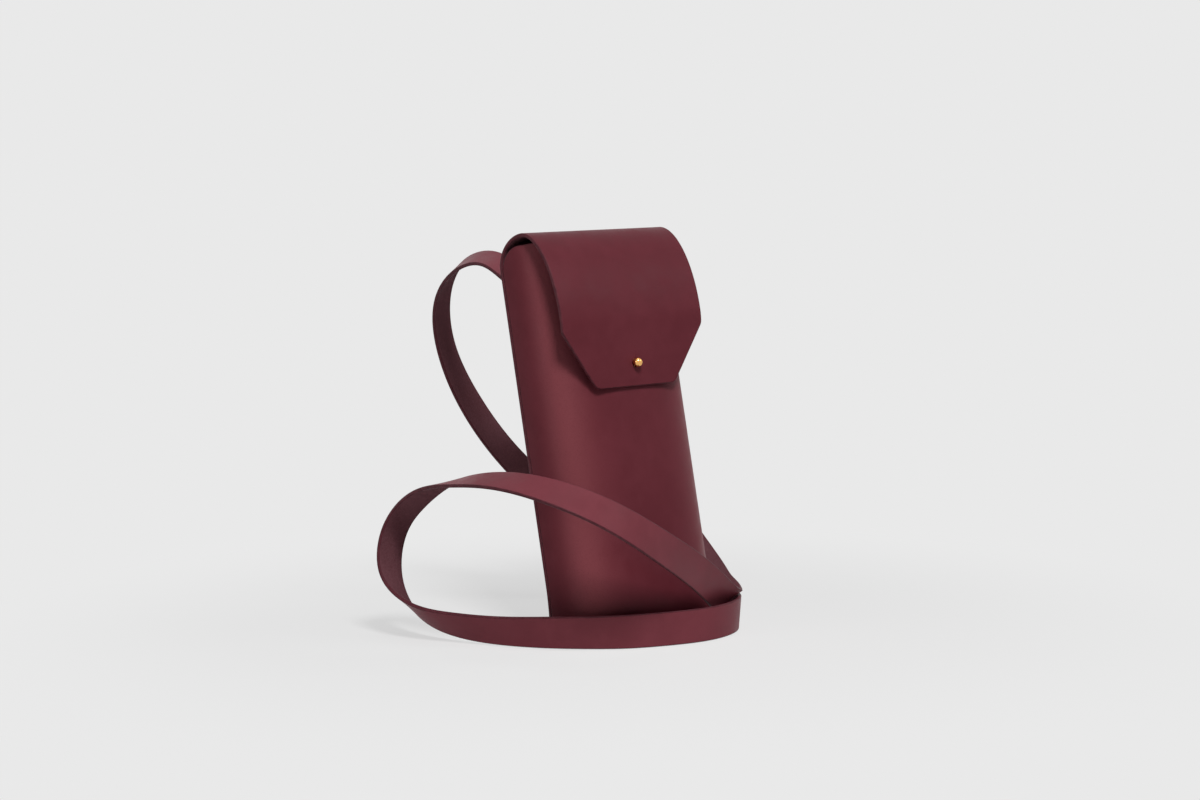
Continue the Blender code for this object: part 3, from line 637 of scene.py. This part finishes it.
def brass_look(name, rough):
    """Polished brass with hairline wear: rubbed places are a little browner and duller."""
    look = Look(name, Metallic=1.0)
    at = look.millimetres()
    rub = look.noise(at, 1.3, 4.0, 0.7)
    scratch = look.noise(at, 7.0, 2.0, 0.6)
    colour = look.blend(look.ramp(rub, 0.4, 0.7), BRASS_BRIGHT, BRASS_RUBBED)
    gloss = look.ramp(rub + scratch * 0.4, 0.45, 0.9, rough, rough + 0.08)
    look.link_varying(colour, gloss, scratch, BRASS_SCRATCH_DEPTH, 0.5)
    return look.material


POLISHED = [brass_look("stud_brass", 0.14)]
PLAIN_BRASS = [brass_look("rivet_brass", 0.22)]
join = asin(NECK_RADIUS / BALL_RADIUS)
turn = join + (pi - join) * np.arange(BALL_STEPS) / BALL_STEPS
ball = np.stack([BALL_RADIUS * np.sin(turn), BALL_LIFT - BALL_RADIUS * np.cos(turn)], 1).tolist()
foot = [(0, GAP), (0.0030, GAP), (FOOT_RADIUS, 0.0005), (FOOT_RADIUS, 0.0009), (0.0029, FOOT),
        (0.0019, FOOT + 0.0001), (NECK_RADIUS, FOOT + 0.0005)]
stud = turned("ball_stud", foot + ball + [(0, BALL_LIFT + BALL_RADIUS)], 0, DEPTH, STUD_HEIGHT, POLISHED)
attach(stud, "pouch")
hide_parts("closure_stud")
inside = -LEATHER - GAP
head = [(0, inside - 0.0008), (0.0030, inside - 0.0009), (0.0038, inside - 0.0006),
        (SCREW_HEAD_RADIUS, inside - 0.0003), (SCREW_HEAD_RADIUS, inside), (SCREW_RADIUS, inside),
        (SCREW_RADIUS, SCREW_TIP), (0, SCREW_TIP)]
screw = turned("stud_screw_head", head, 0, DEPTH, STUD_HEIGHT, PLAIN_BRASS, SCREW_SIDES)
groove = rounded_rectangle(DRIVER_SLOT_HALF_LENGTH, DRIVER_SLOT_HALF_WIDTH, DRIVER_SLOT_CORNER)
ends = [place(groove[:, 0], DEPTH + (inside - d), STUD_HEIGHT + groove[:, 1]) for d in DRIVER_SLOT_DEPTHS]
punch(screw, [plug("driver_slot", *ends, PLAIN_BRASS, 0)])
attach(screw, "pouch")
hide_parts("stud_screw")

# Rivets: four brass double-cap rivets hold the strap's end tabs to the inside of the back, two above each
# other at each slot. A post with a flat head goes through from inside, and a domed cap is hammered on behind.
RIVET_RADIUS = 0.001
RIVET_HEAD_RADIUS = 0.003
RIVET_HEAD_RISE = 0.0008
RIVET_SIDES = 40
POST_END = -0.0008
CAP_RISE = 0.0012
CAP_BORE = 0.0013
CAP_BORE_END = -0.0011
head_low = 2 * LEATHER + 2 * GAP
cap_top = -GAP - CAP_RISE
post_line = [(0, POST_END), (RIVET_RADIUS, POST_END), (RIVET_RADIUS, head_low), (RIVET_HEAD_RADIUS, head_low),
             (RIVET_HEAD_RADIUS, head_low + 0.0003), (0.0026, head_low + 0.0006),
             (0.0014, head_low + RIVET_HEAD_RISE), (0, head_low + RIVET_HEAD_RISE)]
cap_line = [(0, cap_top), (0.0010, cap_top + 0.00005), (0.0018, cap_top + 0.0002), (0.0025, cap_top + 0.0005),
            (0.0029, cap_top + 0.0008), (RIVET_HEAD_RADIUS, -GAP), (CAP_BORE, -GAP), (CAP_BORE, CAP_BORE_END),
            (0, CAP_BORE_END)]
for side_name, sign in (("left", -1), ("right", 1)):
    for row_name, rivet_height in RIVET_HEIGHTS.items():
        for part, line in (("post_", post_line), ("cap_", cap_line)):
            name = part + side_name + "_" + row_name
            node = "rivet_" + name
            rivet = turned(name, line, sign * SLOT_SPREAD, 0, rivet_height, PLAIN_BRASS, RIVET_SIDES)
            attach(rivet, "pouch")
            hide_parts(node)

# Strap: one long strip of the same calf, 18 mm wide, with rounded ends. Both ends go in through the slots
# behind the flap's fold, down inside the back, and are riveted there. It lies in the loose loops that it
# falls into.
STRAP_WIDTH = 0.018
STRAP_STEP = 0.003
STRAP_CORNER_RADIUS = 0.003
STRAP_EXIT_ANGLE = radians(35)
STRAP_EXIT_RUN = 0.006
STRAP_TURN_RADIUS = 0.0026
TAB_BOTTOM = 0.160
TAB_CORNER_ROWS = (0, 0.03, 0.1, 0.2, 0.35, 0.55, 0.8, 1)
TAB_STRAIGHT_ROWS = (0.25, 0.4, 0.55, 0.7, 0.85, 0.95)
TAB_TURN_STEPS = 12
# the strap's looks are lit copies of the calf: lighter grain and flesh dyes and an even grey on the grain,
# painted light and painted sheen
STRAP_PAINTED_LIGHT = 1.42
STRAP_PAINTED_SHEEN = 0.011
STRAP_FLESH_PAINTED_LIGHT = 1.2
# each row: x, y and z in pouch widths from the middle of the base, then the direction across the strip; a z
# of None stands the strip's edge on the floor
STRAP_ROUTE_SHARES = (
    # up and back out of the left slot, then over and down behind the pouch
    (-0.33, 0.84, 1.99, (-1.00, 0.00, -0.20)),
    (-0.32, 1.15, 1.95, (-0.85, -0.10, -0.50)),
    (-0.24, 1.42, 1.72, (-0.85, -0.25, -0.50)),
    (-0.11, 1.53, 1.42, (-0.85, -0.35, -0.45)),
    (0.05, 1.52, 1.12, (-0.85, -0.25, -0.45)),
    (0.21, 1.42, 0.85, (-0.85, -0.20, -0.45)),
    (0.40, 1.23, 0.57, (-0.82, -0.13, -0.53)),
    (0.56, 1.01, 0.30, (-0.72, -0.05, -0.68)),
    (0.68, 0.76, 0.13, (-0.45, 0.05, -0.88)),
    # on its edge on the floor: forward past the right side, across the front, out to the left
    (0.74, 0.47, None, (-0.15, 0.05, -1.00)),
    (0.735, 0.22, None, (-0.05, 0.02, -1.00)),
    (0.685, 0.04, None, (-0.04, 0.03, -1.00)),
    (0.59, -0.12, None, (-0.05, 0.04, -1.00)),
    (0.485, -0.235, None, (-0.05, 0.05, -1.00)),
    (0.36, -0.305, None, (-0.03, 0.04, -1.00)),
    (0.13, -0.34, None, (0.00, 0.00, -1.00)),
    (-0.12, -0.29, None, (0.00, 0.00, -1.00)),
    (-0.31, -0.22, None, (0.05, 0.05, -1.00)),
    (-0.46, -0.12, None, (0.10, 0.15, -1.00)),
    (-0.60, 0.01, None, (0.20, 0.15, -0.95)),
    (-0.75, 0.21, None, (0.35, 0.20, -0.90)),
    # the loop at the left: up, over and forward
    (-0.89, 0.49, 0.10, (0.50, 0.30, -0.80)),
    (-0.98, 0.76, 0.17, (0.75, 0.40, -0.50)),
    (-0.99, 0.93, 0.34, (0.95, 0.20, -0.20)),
    (-0.96, 0.93, 0.56, (1.00, 0.05, -0.10)),
    (-0.94, 0.81, 0.71, (1.00, -0.05, -0.15)),
    (-0.94, 0.54, 0.85, (1.00, 0.00, 0.05)),
    (-0.95, 0.36, 0.89, (1.00, 0.05, 0.20)),
    (-0.92, -0.02, 0.92, (0.90, 0.15, 0.35)),
    (-0.71, -0.41, 0.81, (0.65, 0.35, 0.65)),
    # down across the front of the pouch to the right
    (-0.27, -0.46, 0.56, (0.45, 0.15, 0.90)),
    (0.11, -0.34, 0.36, (0.50, -0.05, 0.85)),
    (0.28, -0.27, 0.26, (0.55, -0.15, 0.80)),
    (0.40, -0.21, 0.19, (0.55, -0.30, 0.75)),
    # the low turn at the right, over the strand on the floor, and up behind the pouch
    (0.48, -0.165, 0.160, (0.62, -0.42, 0.63)),
    (0.525, -0.11, 0.173, (0.67, -0.49, 0.54)),
    (0.585, 0.015, 0.200, (0.66, -0.50, 0.55)),
    (0.655, 0.15, 0.240, (0.65, -0.50, 0.57)),
    (0.735, 0.45, 0.41, (0.65, -0.50, 0.57)),
    (0.75, 0.70, 0.62, (0.72, -0.45, 0.55)),
    (0.71, 0.93, 0.865, (0.83, -0.30, 0.48)),
    (0.59, 1.15, 1.25, (0.90, -0.05, 0.40)),
    (0.41, 1.08, 1.71, (0.95, 0.00, 0.35)),
)


def smooth_curve(knots, values, at):
    """Natural cubic spline: between two knots the value is the straight mix plus h^2 / 6 times (a^3 - a) and
    (b^3 - b) times the bends at the two ends, where h is the knots' distance and a and b the shares of it to
    either end. The bends come from one linear system that makes the slope run on."""
    gaps = np.diff(knots)
    middle = np.concatenate([[1], 2 * (gaps[1:] + gaps[:-1]), [1]])
    above = np.concatenate([[0], gaps[1:]])
    below = np.concatenate([gaps[:-1], [0]])
    system = np.diag(middle) + np.diag(above, 1) + np.diag(below, -1)
    rise = np.diff(values, axis=0) / gaps[:, None]
    ends = np.zeros((1, values.shape[1]))
    bend = np.linalg.solve(system, np.concatenate([ends, 6 * np.diff(rise, axis=0), ends]))
    i = np.clip(np.searchsorted(knots, at, side="right") - 1, 0, len(knots) - 2)
    h = gaps[i][:, None]
    a = (knots[i + 1] - at)[:, None] / h
    b = 1 - a
    curve = a * values[i] + b * values[i + 1]
    return curve + ((a ** 3 - a) * bend[i] + (b ** 3 - b) * bend[i + 1]) * h * h / 6


def strap_tab(sign):
    """Centre line of an end tab: straight up inside the back, then an arc that leans out through the slot."""
    flat = LEATHER + GAP + LEATHER / 2
    sweep = pi / 2 - STRAP_EXIT_ANGLE
    end_depth = flat - STRAP_TURN_RADIUS * (1 - cos(sweep))
    end_height = SLOT_HEIGHT_UP - (end_depth - LEATHER / 2) * tan(STRAP_EXIT_ANGLE)
    start_height = end_height - STRAP_TURN_RADIUS * sin(sweep)
    corner = TAB_BOTTOM + STRAP_CORNER_RADIUS * np.array(TAB_CORNER_ROWS)
    straight = TAB_BOTTOM + (start_height - TAB_BOTTOM) * np.array(TAB_STRAIGHT_ROWS)
    a = sweep * np.arange(TAB_TURN_STEPS + 1) / TAB_TURN_STEPS
    height = np.concatenate([corner, straight, start_height + STRAP_TURN_RADIUS * np.sin(a)])
    turned_depth = flat - STRAP_TURN_RADIUS * (1 - np.cos(a))
    depth = np.concatenate([0 * corner + flat, 0 * straight + flat, turned_depth])
    return place(sign * SLOT_SPREAD, depth, height)


exit_way = -FORWARD * cos(STRAP_EXIT_ANGLE) + UP_PANEL * sin(STRAP_EXIT_ANGLE)
exit_height = SLOT_HEIGHT_UP + LEATHER / 2 * tan(STRAP_EXIT_ANGLE)
left_exit, right_exit = place((-SLOT_SPREAD, SLOT_SPREAD), 0, exit_height)
lying = unit(np.array([row[3] for row in STRAP_ROUTE_SHARES], float))
lying_flat = np.hypot(lying[:, 0], lying[:, 1])
on_floor = STRAP_WIDTH / 2 * np.abs(lying[:, 2]) + LEATHER / 2 * lying_flat + GAP
route = np.array([row[:3] for row in STRAP_ROUTE_SHARES], float) * WIDTH
route[:, 2] = np.where(np.isnan(route[:, 2]), on_floor, route[:, 2])
points = np.concatenate([[left_exit, left_exit + exit_way * STRAP_EXIT_RUN], route,
                         [right_exit + exit_way * STRAP_EXIT_RUN, right_exit]])
directions = np.concatenate([[-ACROSS, -ACROSS], lying, [ACROSS, ACROSS]])
knots = np.concatenate([[0], np.cumsum(np.linalg.norm(np.diff(points, axis=0), axis=1))])
at = np.linspace(0, knots[-1], ceil(knots[-1] / STRAP_STEP) + 1)
left_tab, right_tab = strap_tab(-1), strap_tab(1)
centre = np.concatenate([left_tab, smooth_curve(knots, points, at), right_tab[::-1]])
wide = np.concatenate([0 * left_tab - ACROSS, smooth_curve(knots, directions, at), 0 * right_tab + ACROSS])
run = np.concatenate([[0], np.cumsum(np.linalg.norm(np.diff(centre, axis=0), axis=1))])
along = unit(np.gradient(centre, run, axis=0))
wide = unit(wide - (wide * along).sum(1)[:, None] * along)
short = STRAP_CORNER_RADIUS - np.minimum(np.minimum(run, run[-1] - run), STRAP_CORNER_RADIUS)
half = STRAP_WIDTH / 2 - STRAP_CORNER_RADIUS + np.sqrt(STRAP_CORNER_RADIUS ** 2 - short ** 2)
ribbon_shares = np.array((-1, -0.93, -0.6, -0.2, 0.2, 0.6, 0.93, 1))
ribbon = centre[:, None] + (half[:, None] * ribbon_shares)[..., None] * wide[:, None]
face = np.repeat(np.cross(along, wide)[:, None], len(ribbon_shares), axis=1)
# painted light and sheen: the calf's looks made lighter, the grain also greyer
STRAP_CALF = [grain_look("strap_grain", STRAP_PAINTED_LIGHT, STRAP_PAINTED_SHEEN), CALF[1],
              flesh_look("strap_flesh", STRAP_FLESH_PAINTED_LIGHT)]
strap = leather_sheet("long_strap", ribbon, STRAP_CALF, normal=face)
tab_holes = [(sign * SLOT_SPREAD, h) for sign in (-1, 1) for h in RIVET_HEIGHTS.values()]
punch(strap, [round_plug("tab_hole", RIVET_BORE, *hole, LEATHER / 2, 5 * LEATHER / 2, STRAP_CALF)
              for hole in tab_holes])
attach(strap, "pouch")
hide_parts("strap")

# Floor and surround: a matt pale sweep with no visible end, of the surround's tone where nothing shades it.
# Close to the pouch a share of what is seen is the lit floor, which takes the soft shadow, and the rest is an
# even glow that makes up the tone; further off the share fades out.
PALE = 0.815
FLOOR_ALBEDO = 0.72
FLOOR_LIT = 0.57
SHADOW_SHARE = 0.36
FLOOR_REACH = 40
SHADOW_NEAR = 0.12
SHADOW_FAR = 0.38


def seen_rays(nodes):
    """1 for camera, glossy and transmission rays, else 0."""
    seen, mirrored, let_through = (nodes.node("ShaderNodeLightPath", output=name) for name in (
        "Is Camera Ray", "Is Glossy Ray", "Is Transmission Ray"))
    return nodes.node("ShaderNodeMath", seen + mirrored + let_through, 1.0, operation="MINIMUM")


sweep = Look("sweep", Base_Color=(FLOOR_ALBEDO,) * 3, Roughness=0.95, Specular_IOR_Level=0.0)
floor_place = sweep.node("ShaderNodeTexCoord", output=3)
distance = sweep.node("ShaderNodeVectorMath", floor_place, output=1, operation="LENGTH")
share = sweep.ramp(distance, SHADOW_NEAR, SHADOW_FAR, SHADOW_SHARE, 0.0)
lit = Value(sweep, sweep.shader.outputs[0])
glow = sweep.node("ShaderNodeEmission", (1.0, 1.0, 1.0), (PALE - share * FLOOR_LIT) / (1 - share))
sweep.surface(sweep.node("ShaderNodeMixShader", seen_rays(sweep) * (1 - share), lit, glow))
mesh = bpy.data.meshes.new("sweep")
corners = [(-FLOOR_REACH, -FLOOR_REACH, 0), (FLOOR_REACH, -FLOOR_REACH, 0),
           (FLOOR_REACH, FLOOR_REACH, 0), (-FLOOR_REACH, FLOOR_REACH, 0)]
mesh.from_pydata(corners, [], [(0, 1, 2, 3)])
mesh.materials.append(sweep.material)
floor = bpy.data.objects.new("sweep", mesh)
bpy.context.scene.collection.objects.link(floor)
surround = bpy.data.worlds.new("surround")
bpy.context.scene.world = surround
surround.use_nodes = True
air = Nodes(surround.node_tree)
backdrop = air.node("ShaderNodeBackground", (PALE, PALE, PALE), 1.0)
air.surface(air.node("ShaderNodeMixShader", seen_rays(air), named={2: backdrop}))

# Lights: four soft boxes, all aimed at the pouch's middle. The strongest hangs high at the front left. Weak
# ones stand at the front right and low at the left, and one hangs overhead.
LIGHTS_AIM = (0, 0, 0.1)
# each row: place, width and height in metres, power in watts
LIGHTS = {
    "front": ((-0.53, -1.00, 1.50), (0.4, 0.4), 21.5),
    "right": ((1.06, -1.06, 1.11), (0.6, 0.6), 4),
    "left": ((-1.74, 0.09, 0.54), (0.6, 0.6), 3.8),
    "top": ((0.0, -0.06, 1.90), (0.7, 0.7), 2.5),
}
for name, (stand, size, power) in LIGHTS.items():
    data = bpy.data.lights.new(name, "AREA")
    data.shape = "RECTANGLE"
    data.size, data.size_y = size
    data.energy = power
    lamp = bpy.data.objects.new(name, data)
    lamp.location = stand
    lamp.rotation_euler = (Vector(LIGHTS_AIM) - Vector(stand)).to_track_quat("-Z", "Y").to_euler()
    bpy.context.scene.collection.objects.link(lamp)

# Camera: a short telephoto left of the pouch's front, looking slightly down.
CAMERA_PLACE = (-1.01189, -1.10910, 0.29595)
CAMERA_DOWN = 6.4
CAMERA_TURN = -41.5
lens = bpy.data.cameras.new("camera")
lens.lens = 85
lens.sensor_width = 36
camera = bpy.data.objects.new("camera", lens)
camera.location = CAMERA_PLACE
camera.rotation_euler = (radians(90 - CAMERA_DOWN), 0, radians(CAMERA_TURN))
bpy.context.scene.collection.objects.link(camera)
bpy.context.scene.camera = camera
bpy.context.scene.view_settings.view_transform = "Standard"
